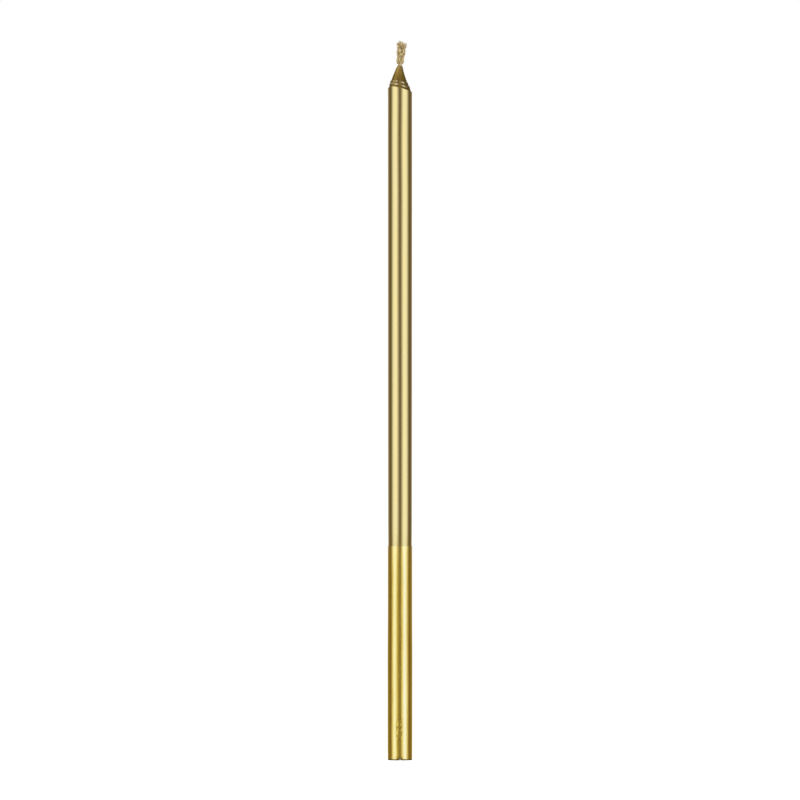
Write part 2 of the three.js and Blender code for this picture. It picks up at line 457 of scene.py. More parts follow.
def makeCoatMaterial():
    material, tree, shader = newMaterial("brightGoldCoat", Metallic=1)
    addFinish(tree, shader, brightGold)
    return material


goldCoat = wound("goldCoat", coatOutline, ringAngles(coat["segments"]))
cutNick(goldCoat, nickCutter)
finish(goldCoat, makeCoatMaterial(), "bright_gold_coat", "gold_coat")

# The bronze gold film on the tip
film = {
    "segments": 192,
    "levels": 110,
    "thickness": 0.1,
    "innerLevels": 10,
    "lip": 0.35,  # film alone below the mouth
    "bore": 0.394,
    "rim": (0.03, 0.1),  # rounding and depth of the mouth's edge
    "rimArc": (30, 150, 4),  # degrees from and to which it is round, and its steps
    # Level at which each row of puckers starts, its height, how proud it is, and its turn
    "puckers": [(0.36, 0.6, 0.14, 0.28), (0.94, 0.6, 0.13, 0.2)],
    "puckerCount": 9,  # round the foot
    "puckerWave": 0.6,  # share that comes and goes round the foot
    "puckerSkew": 0.35,  # by which some are wider than others
    "puckerMix": 0.4,  # share by which they differ
    "puckerLean": (0.05, 0.04),  # how far a row rises and falls once and three times round
    "puckerDrift": 0.12,  # and how far unevenly
    "puckerGrain": (3, 7, 1.7),  # fineness of the drift round the foot and from row to row, and of the mix
    "puckerCrest": (0.6, 0.55),  # shares of its height by which a pucker has risen, and from which it falls
    # A soft fold at the mouth: turn from the front and half width in degrees, and depth
    "fold": (30, 24, 0.04),
    "foldLevels": (2.9, 3.8),
    "streaks": (0.012, 3, 4),  # as skinNoise takes them
    "ripple": (0.014, 2, 0.2),
}


def filmPucker(level, angle):
    proud = 0
    spread, unlike, finer = film["puckerGrain"]
    once, thrice = film["puckerLean"]
    risen, falling = film["puckerCrest"]
    for start, height, depth, turn in film["puckers"]:
        place = Vector((spread * math.cos(angle), spread * math.sin(angle), unlike * start))
        drift = once * math.sin(angle + 2 * turn) + thrice * math.sin(3 * angle + turn)
        drift += film["puckerDrift"] * noise.noise(place)
        rise = (level - start - drift) / height
        if 0 < rise < 1:
            wave = film["puckerCount"] * (angle + turn) - film["puckerSkew"] * math.sin(2 * angle)
            share = 1 - film["puckerWave"] * (0.5 + 0.5 * math.sin(wave))
            share += film["puckerMix"] * noise.noise(place * finer)
            proud += depth * share * min(rise / risen, 1) * (1 - riseBetween(rise, falling, 1))
    return proud


def filmRadius(level, angle):
    share = level / stick["coneLength"]
    radius = coneRadius(level) + filmPucker(level, angle)
    turn, halfWidth, depth = film["fold"]
    away = math.remainder(angle - frontAngle - math.radians(turn), fullTurn)
    radius -= depth * hump(away, 0, math.radians(halfWidth)) * riseBetween(level, *film["foldLevels"])
    radius += skinNoise(angle, level, *film["streaks"]) * (1 - share)
    radius += skinNoise(angle, level, *film["ripple"]) * (1 - share) ** 2
    return radius


# Closed loop of (radius, level) pairs
def filmLoop(angle):
    top = stick["coneLength"]
    edge, depth = film["rim"]
    outside = spaced(stick["footLevel"], top - edge, film["levels"])
    loop = [(filmRadius(level, angle), level) for level in outside]
    loop += arc(stick["mouthRadius"] - edge, top - edge, edge, *film["rimArc"])
    loop += [(film["bore"], top - depth), (film["bore"], top - film["lip"])]
    for level in spaced(top - film["lip"], stick["footLevel"], film["innerLevels"]):
        loop.append((coneRadius(level) - film["thickness"], level))
    return loop


def filmOutline(angle):
    return [(r, onShoulder(level, angle)) for r, level in filmLoop(angle)]


bronzeFilm = {
    # Tones by level above the shoulder, as painted light: paler on the puckers and up towards the mouth,
    # painted shade in the grooves between them and towards the foot
    "tones": [
        (0.2, (0.36, 0.3, 0.13)),
        (0.5, (0.52, 0.43, 0.25)),
        (0.8, (0.5, 0.41, 0.23)),
        (0.95, (0.42, 0.34, 0.16)),
        (1.1, (0.54, 0.44, 0.27)),
        (1.3, (0.5, 0.4, 0.22)),
        (1.5, (0.42, 0.32, 0.12)),
        (2.1, (0.44, 0.33, 0.12)),
        (2.9, (0.58, 0.45, 0.19)),
        (3.6, (0.66, 0.53, 0.27)),
        (4.1, (0.7, 0.58, 0.34)),
    ],
    "paler": colour(1.14, 1.14, 1.196),  # the tones wander between these two shares of themselves
    "deeper": colour(0.86, 0.846, 0.776),
    "driftGrain": (0.3, 1.6),
    "roughness": (0.2, 0.32),
    "roughGrain": (0.25, 2),
    "gloss": (1.3, 1.8, 0.5),  # the puckers below these levels have this share of the roughness
    "relief": (0.14, 1.5, 4, 0.004),
}


def makeFilmMaterial():
    material, tree, shader = newMaterial("bronzeGoldFilm", Metallic=1)
    level = addNode(tree, "ShaderNodeAttribute", {"attribute_name": "level"})
    # The ramp by level paints light and shade: paler on the puckers and towards the mouth, darker in the
    # grooves and towards the foot
    places = [(z / stick["coneLength"], tone) for z, tone in bronzeFilm["tones"]]
    tones = toneRamp(tree, level.outputs["Fac"], places)
    size, stretch = bronzeFilm["driftGrain"]
    pale, deep = bronzeFilm["paler"], bronzeFilm["deeper"]
    cloud = useGroup(tree, tintDrift, First=pale, Second=deep, Size=size, Stretch=stretch)
    tint = addNode(tree, "ShaderNodeMix", {"data_type": "RGBA", "blend_type": "MULTIPLY"}, Factor=1)
    low, high, gloss = bronzeFilm["gloss"]
    share = addNode(tree, "ShaderNodeMapRange", **{"To Min": gloss, "To Max": 1})
    share.inputs["From Min"].default_value = low / stick["coneLength"]
    share.inputs["From Max"].default_value = high / stick["coneLength"]
    tree.links.new(level.outputs["Fac"], share.inputs["Value"])
    rough = mathNode(tree, "MULTIPLY", roughGrain(tree, bronzeFilm), share.outputs["Result"])
    tree.links.new(tones, tint.inputs["A"])
    tree.links.new(cloud, tint.inputs["B"])
    tree.links.new(tint.outputs["Result"], shader.inputs["Base Color"])
    tree.links.new(rough, shader.inputs["Roughness"])
    addRelief(tree, shader, bronzeFilm)
    return material


# Each point keeps its level for the material, as a share of the tip's length
def makeFilm():
    angles = ringAngles(film["segments"])
    piece = wound("tipFilm", filmOutline, angles)
    levels = [level / stick["coneLength"] for angle in angles for _, level in filmLoop(angle)]
    piece.data.attributes.new("level", "FLOAT", "POINT").data.foreach_set("value", levels)
    return piece


tipFilm = makeFilm()
finish(tipFilm, makeFilmMaterial(), "bronze_gold_film", "tip_coat")

# The foil wrap
foil = {
    "top": 37.2,
    "thickness": 0.05,
    "gap": 0.02,
    "hemInside": 1.35,
    "hemWander": (0.07, 0.05),  # how far the hem's edge wanders five and eleven times round
    "lap": 40,  # degrees of foil over its first edge, at the back
    "ramp": 12,  # degrees in which it climbs on to itself
    "step": 2,  # degrees left open at its cut edge
    "turnSteps": (164, 10, 24),  # round the single foil, up the ramp and along the lap
    "ringStep": 0.6,
    "footSteps": 6,
    "hemShares": (0, 0.25, 0.5, 0.75),  # of the way from its edge to the wall, where its rings lie
    "footRings": (8, 4),  # up to the top of the nick's dent, and from there to the crinkles
    "crinkled": (2.2, 9),  # heights between which the rings lie closer
    "fineStep": 0.1,
    "waver": (0.012, 1.6, 7),  # as skinNoise takes them
    "finerWaver": (0.003, 4, 3),
    "finerShift": 30,  # so that the two don't run alike
    "calm": (0.1, 1.5),  # heights between which they come up from nothing
    # Turn from the front in degrees, height, half width, half height and depth of the crinkled patches
    "crinkles": [(-6, 5.6, 28, 3.6, 0.037), (125, 5, 30, 1.8, 0.024), (-115, 6, 25, 1.6, 0.02)],
    "crinkleGrain": (6, 0.5),  # fineness round the stick, and length along it
    "pleats": 26,
    "pleatDepth": 0.03,
    "pleatSkew": 0.6,
    "pleatInside": 0.4,  # share of a pleat's depth on its inner side
    "seamWaver": 1.4,  # degrees by which the cut edge wanders
    "seamLength": 9,
    "seamReach": 12,  # degrees to either side that follow it
}
firstEdge = backAngle + math.radians(foil["lap"]) / 2
lapStart = fullTurn - math.radians(foil["lap"])
rampStart = lapStart - math.radians(foil["ramp"])


def foilWaver(angle, height):
    waver = skinNoise(angle, height, *foil["waver"])
    waver += skinNoise(angle, height + foil["finerShift"], *foil["finerWaver"])
    waver *= riseBetween(height, *foil["calm"])
    for turn, middle, halfWidth, halfHeight, depth in foil["crinkles"]:
        away = math.remainder(angle - frontAngle - math.radians(turn), fullTurn)
        share = hump(away, 0, math.radians(halfWidth)) * hump(height, middle, halfHeight)
        waver += share * skinNoise(angle, height, depth, *foil["crinkleGrain"])
    return waver - nickDent(angle, height)


# Heights of the rings up the wall
def foilRings(wallStart):
    low, high = foil["crinkled"]
    first, second = foil["footRings"]
    rings = spaced(wallStart, nick["dentTop"], first) + spaced(nick["dentTop"], low, second)[1:]
    rings += spaced(low, high, round((high - low) / foil["fineStep"]))[1:]
    rings += spaced(high, foil["top"], round((foil["top"] - high) / foil["ringStep"]))[1:]
    return rings


# Outline of the foil at a turn from its first edge: up its outer side and down its inner one
def foilOutlineAt(turn):
    angle = firstEdge + turn
    climb = foil["thickness"] * riseBetween(turn, rampStart, lapStart)
    foot = stick["footRound"]
    base = stick["baseHeight"]
    wallStart = base + foot
    pleat = abs(math.sin(foil["pleats"] / 2 * angle + foil["pleatSkew"] * math.sin(3 * angle))) ** 3
    wide, narrow = foil["hemWander"]
    hemEdge = foil["hemInside"] + wide * math.sin(5 * angle + 1) + narrow * math.sin(11 * angle)
    layer = foil["thickness"] + foil["gap"]
    rings = foilRings(wallStart)
    steps = foil["footSteps"]

    def skin(offset, isOutside):
        pairs = []
        for share in foil["hemShares"]:
            lift = foil["pleatDepth"] * pleat * (1 - share) ** 0.5
            lift *= 1 if isOutside else foil["pleatInside"]
            pairs.append((mix(hemEdge, stick["radius"] - foot, share), base - offset + lift))
        pairs += arc(stick["radius"] - foot, wallStart, foot + offset, -90, 0, steps, nickDent(angle))
        pairs += [(stick["radius"] + bodySwell(z) + offset + foilWaver(angle, z), z) for z in rings[1:]]
        return pairs

    outside = [(r + climb * min(1, z / wallStart), z) for r, z in skin(layer, True)]
    return outside + skin(foil["gap"], False)[::-1]


def makeFoil():
    single, ramp, lap = foil["turnSteps"]
    turns = spaced(0, rampStart, single)
    turns += spaced(rampStart, lapStart, ramp)[1:]
    turns += spaced(lapStart, fullTurn - math.radians(foil["step"]), lap)[1:]
    outlines = {firstEdge + turn: foilOutlineAt(turn) for turn in turns}
    piece = wound("foilWrap", lambda angle: outlines[angle], list(outlines))
    # The cut edge wanders a little up the back
    for vertex in piece.data.vertices:
        x, y, z = vertex.co
        angle = math.atan2(y, x)
        near = hump(angle, firstEdge, math.radians(foil["seamReach"]))
        if near > 0:
            place = Vector((0, 3, z / mm / foil["seamLength"]))
            drift = math.radians(foil["seamWaver"]) * near * noise.noise(place)
            vertex.co = polar(math.hypot(x, y), angle + drift, z)
    return piece


goldFoil = {
    "first": colour(0.97, 0.83, 0.37),
    "second": colour(0.96, 0.8, 0.34),
    "tintGrain": (2, 3),
    "roughness": (0.16, 0.23),
    "roughGrain": (0.6, 3),
    "relief": (0.8, 3, 3, 0.006),
}


def makeFoilMaterial():
    material, tree, shader = newMaterial("goldFoil", Metallic=1)
    addFinish(tree, shader, goldFoil)
    return material


foilWrap = makeFoil()
cutNick(foilWrap, nickCutter)
finish(foilWrap, makeFoilMaterial(), "gold_foil", "foil_sleeve")
bpy.data.objects.remove(nickCutter)

# The wax
wax = {
    "segments": 128,
    "bore": 0.37,  # the plies are squeezed a little way into it
    "top": 3.75,  # level above the shoulder
    "dish": 0.02,  # the base is drawn up a little round the wick
    "lumps": (0.008, 2),  # depth and fineness of the base's unevenness
    "gap": 0.02,  # to the film
    "baseRings": 12,
    "tipLevels": 8,
}


def waxOutline(angle):
    base = stick["baseHeight"]
    depth, fineness = wax["lumps"]
    outline = []
    for share in spaced(0, 1, wax["baseRings"]):
        radius = mix(wax["bore"], stick["coreRadius"], share)
        lift = wax["dish"] * (1 - share) ** 2
        lift += skinNoise(angle, 0, depth, fineness * radius, 1) * (1 - share)
        outline.append((radius, base + max(lift, 0)))
    inset = film["thickness"] + wax["gap"]
    levels = spaced(stick["footLevel"], wax["top"], wax["tipLevels"])
    outline.append((stick["coreRadius"], onShoulder(-stick["runIn"], angle)))
    outline += [(coneRadius(level) - inset, onShoulder(level, angle)) for level in levels]
    outline += [(wax["bore"], onShoulder(level, angle)) for level in reversed(levels)]
    outline.append((wax["bore"], stick["length"] - stick["runIn"]))
    return outline


creamWax = {
    "first": colour(0.86, 0.78, 0.6),
    "second": colour(0.9, 0.84, 0.7),
    "tintGrain": (0.9, 1),
    "roughness": (0.35, 0.55),
    "roughGrain": (0.3, 1),
    "relief": (0.2, 1, 4, 0.01),
    "refraction": 1.44,
    "glowDepth": 0.8,  # millimetres that light goes in
    "glowShares": (1, 0.75, 0.45),  # of that depth for red, green and blue
    "glow": 0.7,
}


def makeWaxMaterial():
    material, tree, shader = newMaterial("creamWax", IOR=creamWax["refraction"])
    shader.inputs["Subsurface Weight"].default_value = creamWax["glow"]
    shader.inputs["Subsurface Radius"].default_value = creamWax["glowShares"]
    shader.inputs["Subsurface Scale"].default_value = creamWax["glowDepth"] * mm
    addFinish(tree, shader, creamWax)
    return material


waxStick = wound("waxStick", waxOutline, ringAngles(wax["segments"]))
finish(waxStick, makeWaxMaterial(), "wax", "wax_core")

# The wick: four plies, each a bundle of yarns
wick = {
    "top": 125,
    "plies": 4,
    "lay": 5.5,  # length of a turn of the plies, which wind left-handed
    "waxedDiameter": 0.28,
    "bareDiameter": 0.525,
    "waxedLay": 0.234,
    "bareLay": 0.4185,
    "swell": 0.8,
    "lean": 5,  # degrees to the right
    "tuftLength": 3.6,
    "tuftSpread": 0.13,
    "tuftFlare": 0.3,  # share of its width that a ply's end gains
    "drop": 0.4,  # the tallest ply's lead over the others
    "topAngle": 136,  # degrees from the right at which the tallest ply ends
    "comb": (0.3, 0.8),  # how far the tallest ply's end is drawn to the right, and over what length
    "waxedSides": 12,
    "waxedSteps": 8,  # rings for each turn of the lay
    "waxedFoot": 0.02,  # below the wax
    "yarns": 7,
    "yarnLay": 1.5,
    "yarnTwist": 5,  # radians a millimetre by which its fibres run round it
    "yarnSides": 8,
    "creaseAngle": 60,  # wide enough for a yarn's sides to shade as round
    "yarnStep": 0.07,
    "yarnStart": 0.45,  # below the mouth
    "yarnOverlap": 0.15,  # with the waxed length
    "yarnReach": 0.64,  # share of the ply's radius at which the yarns lie
    "yarnRadius": 0.37,  # the same of their own radius
    "yarnLoose": (0.8, 1.25),  # how much more or less one parts, and how much thicker or thinner it is
    "yarnThick": (0.9, 1.1),
    "yarnLumps": (0.1, 3),  # share and closeness of its thicker and thinner places
    "yarnTaper": (0.55, 0.35),  # share of its width that it loses at its end, and over what length
    "yarnEnds": (0.62, 0.22),  # how far the yarns' ends differ in the tallest ply and in the others
    "fray": (0.6, 0.9),  # share by which the yarns part at their ends, and over what length
    "seed": 11,
}


def wickMiddle(height):
    middle = axisAt(height)
    middle.z = height
    middle.x += max(0, height - mouthHeight) * math.tan(math.radians(wick["lean"]))
    return middle


def plyTop(index):
    return wick["top"] - (wick["drop"] if index else 0)


def plySwell(height):
    return riseBetween(height, mouthHeight, mouthHeight + wick["swell"])


def plyTuft(index, height):
    return riseBetween(height, plyTop(index) - wick["tuftLength"], plyTop(index))


def plyMiddle(index, height):
    endAngle = math.radians(wick["topAngle"]) + index / wick["plies"] * fullTurn
    radius = mix(wick["waxedLay"], wick["bareLay"], plySwell(height))
    radius += wick["tuftSpread"] * plyTuft(index, height)
    angle = endAngle + (wick["top"] - height) / wick["lay"] * fullTurn
    middle = wickMiddle(height) + polar(radius, angle, 0)
    if index == 0:
        shift, length = wick["comb"]
        middle.x += shift * riseBetween(height, wick["top"] - length, wick["top"]) ** 2
    return middle


# Where a ply runs at a height: its middle, the directions out and to the side of it, and its radius
def plyFrame(index, height):
    middle = plyMiddle(index, height)
    outward = middle - wickMiddle(height)
    step = 0.05  # to either side, for the direction
    along = (plyMiddle(index, height + step) - plyMiddle(index, height - step)).normalized()
    side = along.cross(outward).normalized()
    out = side.cross(along)
    radius = mix(wick["waxedDiameter"], wick["bareDiameter"], plySwell(height)) / 2
    radius *= 1 + wick["tuftFlare"] * plyTuft(index, height)
    return middle, out, side, along, radius


def ringRound(middle, out, side, radius, sides):
    return [middle + (out * math.cos(a) + side * math.sin(a)) * radius for a in ringAngles(sides)]


# The tubes of one piece, with each point's place in its own straight yarn kept for the material
class Strands:
    def __init__(self):
        self.points, self.faces, self.places = [], [], []

    def add(self, rings, offset, twist):
        self.faces += tubeFaces(rings, len(self.points))
        length = 0
        for i, ring in enumerate(rings):
            if i:
                length += (ring[0] - rings[i - 1][0]).length
            for k, point in enumerate(ring):
                turn = fullTurn * k / len(ring) + twist * length
                self.points.append(point)
                self.places.append((offset + math.cos(turn), math.sin(turn), length))

    def build(self, name):
        piece = addMesh(name, self.points, self.faces, wick["creaseAngle"])
        place = piece.data.attributes.new("yarnPlace", "FLOAT_VECTOR", "POINT")
        for i, value in enumerate(self.places):
            place.data[i].vector = value
        return piece


# The waxed length of a ply, hidden in the stick
def addWaxedLength(strands, index):
    start = stick["baseHeight"] - wick["waxedFoot"]
    end = mouthHeight - wick["yarnStart"] + wick["yarnOverlap"]
    rings = []
    for height in spaced(start, end, round((end - start) / wick["lay"] * wick["waxedSteps"])):
        middle, out, side, _, radius = plyFrame(index, height)
        rings.append(ringRound(middle, out, side, radius, wick["waxedSides"]))
    strands.add(rings, index, 0)


# One yarn of a ply's bare length. The first runs up the ply's middle, and the others wind round it
def addYarn(strands, index, yarn, draw):
    isCore = yarn == 0
    start = mouthHeight - wick["yarnStart"]
    top = plyTop(index) - draw.random() * wick["yarnEnds"][min(index, 1)] * (0 if isCore else 1)
    loose = draw.uniform(*wick["yarnLoose"])
    thick = draw.uniform(*wick["yarnThick"])
    part, partLength = wick["fray"]
    taper, taperLength = wick["yarnTaper"]
    lump, closeness = wick["yarnLumps"]
    rings = []
    for height in spaced(start, top, round((top - start) / wick["yarnStep"])):
        middle, out, side, _, radius = plyFrame(index, height)
        fray = riseBetween(height, plyTop(index) - partLength, plyTop(index))
        turn = fullTurn * (yarn / (wick["yarns"] - 1) - (height - start) / wick["yarnLay"])
        reach = 0 if isCore else radius * wick["yarnReach"] * (1 + part * fray * loose)
        centre = middle + (out * math.cos(turn) + side * math.sin(turn)) * reach
        ends = 1 - taper * riseBetween(height, top - taperLength, top)
        own = Vector((yarn * 5 + index * 40, 0, height * closeness))  # each yarn has its own lumps
        lumps = 1 + lump * noise.noise(own)
        thickness = radius * wick["yarnRadius"] * thick * lumps * ends
        rings.append(ringRound(centre, out, side, thickness, wick["yarnSides"]))
    ownGrain = 10 + 20 * index + 2.7 * yarn  # so that no two yarns look alike
    strands.add(rings, ownGrain, wick["yarnTwist"])


def makePly(index, draw):
    strands = Strands()
    addWaxedLength(strands, index)
    for yarn in range(wick["yarns"]):
        addYarn(strands, index, yarn, draw)
    return strands.build(f"wickPly{index + 1}")


cotton = {
    "tones": [
        (0.42, (0.26, 0.15, 0.06)),
        (0.48, (0.43, 0.33, 0.135)),
        (0.55, (0.75, 0.57, 0.27)),
        (0.64, (0.95, 0.8, 0.47)),
    ],
    "patch": 0.42,  # size of a patch of one tone
    "patchGrain": (1.5, 0.6),  # detail and roughness of the patches' outlines
    "fibre": (0.09, 5),  # width of the fibres and how long they are for it
    "fibreGrain": (2.2, 3),  # their closeness round a yarn, and their detail
    "shares": (0.35, 0.75),  # what the fibres and the patches each add to the tone
    "relief": 0.02,
    "roughness": 0.85,
    "sheen": (0.2, 0.5),  # weight and roughness
}


# Cream, tan, olive and brown in patches, with fine fibres that run along each yarn
def makeCottonMaterial():
    material, tree, shader = newMaterial("wickCotton", Roughness=cotton["roughness"])
    weight, rough = cotton["sheen"]
    shader.inputs["Sheen Weight"].default_value = weight
    shader.inputs["Sheen Roughness"].default_value = rough
    detail, rough = cotton["patchGrain"]
    patch = addNode(tree, "ShaderNodeTexNoise", Scale=1, Detail=detail, Roughness=rough)
    tree.links.new(grainPlace(tree, cotton["patch"], 1), patch.inputs["Vector"])
    place = addNode(tree, "ShaderNodeAttribute", {"attribute_name": "yarnPlace"})
    stretch = addNode(tree, "ShaderNodeVectorMath", {"operation": "MULTIPLY"})
    width, length = cotton["fibre"]
    stretch.inputs[1].default_value = (1, 1, 1 / width / length)
    scale, detail = cotton["fibreGrain"]
    fibres = addNode(tree, "ShaderNodeTexNoise", Scale=scale, Detail=detail)
    tree.links.new(place.outputs["Vector"], stretch.inputs[0])
    tree.links.new(stretch.outputs[0], fibres.inputs["Vector"])
    fibreShare, patchShare = cotton["shares"]
    patches = mathNode(tree, "MULTIPLY", patch.outputs["Fac"], patchShare)
    mixed = mathNode(tree, "MULTIPLY_ADD", fibres.outputs["Fac"], fibreShare, patches)
    tree.links.new(toneRamp(tree, mixed, cotton["tones"]), shader.inputs["Base Color"])
    addBump(tree, shader, fibres.outputs["Fac"], cotton["relief"])
    return material


wickCotton = makeCottonMaterial()
draw = random.Random(wick["seed"])
for index in range(wick["plies"]):
    finish(makePly(index, draw), wickCotton, "wick_cotton", f"wick_ply_{index + 1}")

# Loose fibres of the wick
fuzz = {
    "fibres": 46,
    "clear": 0.4,  # above the mouth and below a ply's end, where these don't start
    "tuftFibres": 30,
    "tuftZone": (0.35, 0.05),  # below a ply's end, where those of the tuft start
    "swing": 1.4,  # how far round the ply from its outer side a fibre may start
    "root": 0.9,  # share of the ply's radius at which it starts
    "outward": (0.3, 1),
    "upward": (0.6, 1.6),
    "bend": 0.28,
    "bendUp": (-0.6, 0.8),  # share of the bend that goes down or up
    "length": (0.15, 0.45),
    "tuftLength": 0.7,  # share of that length in the tuft
    "thickness": 0.012,
    "taper": 0.75,
    "sides": 5,
    "steps": 8,
    "seed": 5,
}


def makeFuzz():
    draw = random.Random(fuzz["seed"])
    strands = Strands()
    for fibre in range(fuzz["fibres"] + fuzz["tuftFibres"]):
        index = draw.randrange(wick["plies"])
        isTuft = fibre >= fuzz["fibres"]
        top = plyTop(index)
        low, high = mouthHeight + fuzz["clear"], top - fuzz["clear"]
        if isTuft:
            low, high = (top - drop for drop in fuzz["tuftZone"])
        height = draw.uniform(low, high)
        middle, out, side, along, radius = plyFrame(index, height)
        turn = draw.uniform(-fuzz["swing"], fuzz["swing"])
        outward = out * math.cos(turn) + side * math.sin(turn)
        point = middle + outward * radius * fuzz["root"]
        heading = outward * draw.uniform(*fuzz["outward"]) + along * draw.uniform(*fuzz["upward"])
        heading.normalize()
        length = draw.uniform(*fuzz["length"]) * (fuzz["tuftLength"] if isTuft else 1)
        bend = Vector((draw.uniform(-1, 1), draw.uniform(-1, 1), draw.uniform(*fuzz["bendUp"])))
        bend *= fuzz["bend"]
        rings = []
        for step in range(fuzz["steps"] + 1):
            across = heading.orthogonal().normalized()
            thickness = fuzz["thickness"] * (1 - fuzz["taper"] * step / fuzz["steps"])
            rings.append(ringRound(point, across, heading.cross(across), thickness, fuzz["sides"]))
            point = point + heading * (length / fuzz["steps"])
            heading = (heading + bend).normalized()
        strands.add(rings, 200 + 3 * fibre, 0)  # each with a grain of its own
    return strands.build("wickFuzz")


finish(makeFuzz(), wickCotton, "wick_cotton")

# Floor, light and camera
studio = {
    # Floor and lamps are in metres, the surround and its zones in millimetres
    "floorSize": 6,
    "floorColour": colour(0.8, 0.8, 0.8),
    "floorGlow": 0.58,  # seen by the camera and in gloss
    "fill": 0.55,  # the world's strength on matt surfaces
    "lampRadiance": 0.9,
    "lampDistance": 0.5,
    "lampSize": (0.55, 0.5),
    "lampTurn": 50,  # degrees to either side of the camera
    "lampLift": 0.02,  # height of its lower edge
    "lampAim": 0.06,  # height on the candle
    "surroundRadius": 40,
    "surroundFoot": (1.2, 0.004),  # radius and height at which it starts, within the hem
    "surroundTop": 170,
    "roofHole": 1,  # radius of the hole that is left in its roof
    "surroundSides": 72,
    "mirrorRadius": 2.1,  # of the gold, which bends the tones' azimuths close to it
    "foilZone": (34.5, 38.5),  # heights between which the tones turn from the foil's to the coat's
    "topZone": (126, 136),
    "footShade": (2.5, 4.5),  # radii between which the floor's tones come up from the painted shadow round the foot
    # painted shadow on the floor that gloss sees, dark round the foot, which the gold mirrors at its base
    "footShadow": colour(0.05, 0.04, 0.02),
}

# Tones of the light that shines in the gold, each with its azimuths to the left and right of the camera
coatLight = [
    (6, 6, (0.19, 0.157, 0.1)),
    (20, 19, (0.65, 0.62, 0.61)),
    (34, 34, (1.21, 1.23, 1.26)),
    (56, 56, (1.2, 1.22, 1.22)),
    (72, 71, (0.96, 0.98, 1.04)),
    (86, 86, (0.35, 0.31, 0.25)),
    (104, 104, (0.12, 0.09, 0.07)),
    (138, 155, (0.3, 0.25, 0.13)),
    (172, 172, (0.5, 0.45, 0.3)),
]
# The same for the foil, from the left (negative) to the right
foilLight = [
    (-172, (0.5, 0.42, 0.2)),
    (-145, (0.34, 0.25, 0.07)),
    (-100, (0.15, 0.1, 0.01)),
    (-83, (0.44, 0.34, 0.13)),
    (-68, (0.95, 0.92, 0.6)),
    (-50, (0.99, 1.17, 1.64)),
    (-34, (0.92, 0.84, 0.4)),
    (-20, (0.41, 0.32, 0.12)),
    (-5, (0.21, 0.165, 0.045)),
    (3, (0.21, 0.165, 0.045)),
    (11, (0.41, 0.32, 0.12)),
    (24, (0.92, 0.84, 0.43)),
    (44, (0.99, 1.19, 2.1)),
    (64, (0.95, 0.92, 0.7)),
    (80, (0.44, 0.34, 0.13)),
    (98, (0.14, 0.09, 0.01)),
    (145, (0.34, 0.25, 0.07)),
    (172, (0.5, 0.42, 0.2)),
]
# The same above the tip
topLight = [
    (-165, (0.2, 0.16, 0.08)),
    (-125, (0.26, 0.21, 0.11)),
    (-95, (0.54, 0.45, 0.26)),
    (-78, (0.62, 0.52, 0.31)),
    (-46, (0.62, 0.52, 0.31)),
    (-20, (0.42, 0.35, 0.2)),
    (45, (0.42, 0.35, 0.2)),
    (82, (0.27, 0.23, 0.13)),
    (165, (0.2, 0.16, 0.08)),
]


# 1 for what the camera and gloss see, 0 for light on matt surfaces
def seenMask(tree):
    path = addNode(tree, "ShaderNodeLightPath")
    seen = mathNode(tree, "ADD", path.outputs["Is Camera Ray"], path.outputs["Is Glossy Ray"])
    seen = mathNode(tree, "ADD", seen, path.outputs["Is Transmission Ray"])
    return mathNode(tree, "MINIMUM", seen, 1)


def makeWorld():
    world = bpy.data.worlds.new("paleStudio")
    world.use_nodes = True
    tree = world.node_tree
    tree.nodes.clear()
    backdrop = addNode(tree, "ShaderNodeBackground", Color=colour(1, 1, 1))
    output = addNode(tree, "ShaderNodeOutputWorld")
    strength = mathNode(tree, "MULTIPLY_ADD", seenMask(tree), 1 - studio["fill"], studio["fill"])
    tree.links.new(strength, backdrop.inputs["Strength"])
    tree.links.new(backdrop.outputs[0], output.inputs["Surface"])
    scene.world = world


def makeFloor():
    half = studio["floorSize"] / 2
    mesh = bpy.data.meshes.new("floor")
    corners = [(-half, -half, 0), (half, -half, 0), (half, half, 0), (-half, half, 0)]
    mesh.from_pydata(corners, [], [(0, 1, 2, 3)])
    floor = bpy.data.objects.new("floor", mesh)
    scene.collection.objects.link(floor)
    material, tree, shader = newMaterial("paleFloor", Roughness=1)
    shader.inputs["Base Color"].default_value = studio["floorColour"]
    shader.inputs["Specular IOR Level"].default_value = 0
    shader.inputs["Emission Color"].default_value = colour(1, 1, 1)
    glow = mathNode(tree, "MULTIPLY", seenMask(tree), studio["floorGlow"])
    tree.links.new(glow, shader.inputs["Emission Strength"])
    under = addNode(tree, "ShaderNodeNewGeometry")  # clear from below
    clear = addNode(tree, "ShaderNodeBsdfTransparent")
    choose = addNode(tree, "ShaderNodeMixShader")
    tree.links.new(under.outputs["Backfacing"], choose.inputs[0])
    tree.links.new(shader.outputs[0], choose.inputs[1])
    tree.links.new(clear.outputs[0], choose.inputs[2])
    tree.links.new(choose.outputs[0], tree.nodes["Material Output"].inputs["Surface"])
    mesh.materials.append(material)
    floor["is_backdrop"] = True


def bothSides(tones):
    return sorted([(-left, tone) for left, _, tone in tones] + [(right, tone) for _, right, tone in tones])


# Tones round the candle by azimuth, which runs from 0 to 1 with the camera's side at its middle
def azimuthRamp(tree, azimuth, tones):
    return toneRamp(tree, azimuth, [(0.5 + turn / 360, tone) for turn, tone in tones])


def zoneMix(tree, value, zone, below, above):
    share = addNode(tree, "ShaderNodeMapRange", {"interpolation_type": "SMOOTHSTEP"})
    share.inputs["From Min"].default_value = zone[0] * mm
    share.inputs["From Max"].default_value = zone[1] * mm
    blend = addNode(tree, "ShaderNodeMix", {"data_type": "RGBA"})
    tree.links.new(value, share.inputs["Value"])
    tree.links.new(share.outputs["Result"], blend.inputs["Factor"])
    for socket, tone in (("A", below), ("B", above)):
        if isinstance(tone, bpy.types.NodeSocket):
            tree.links.new(tone, blend.inputs[socket])
        else:
            blend.inputs[socket].default_value = tone
    return blend.outputs["Result"]


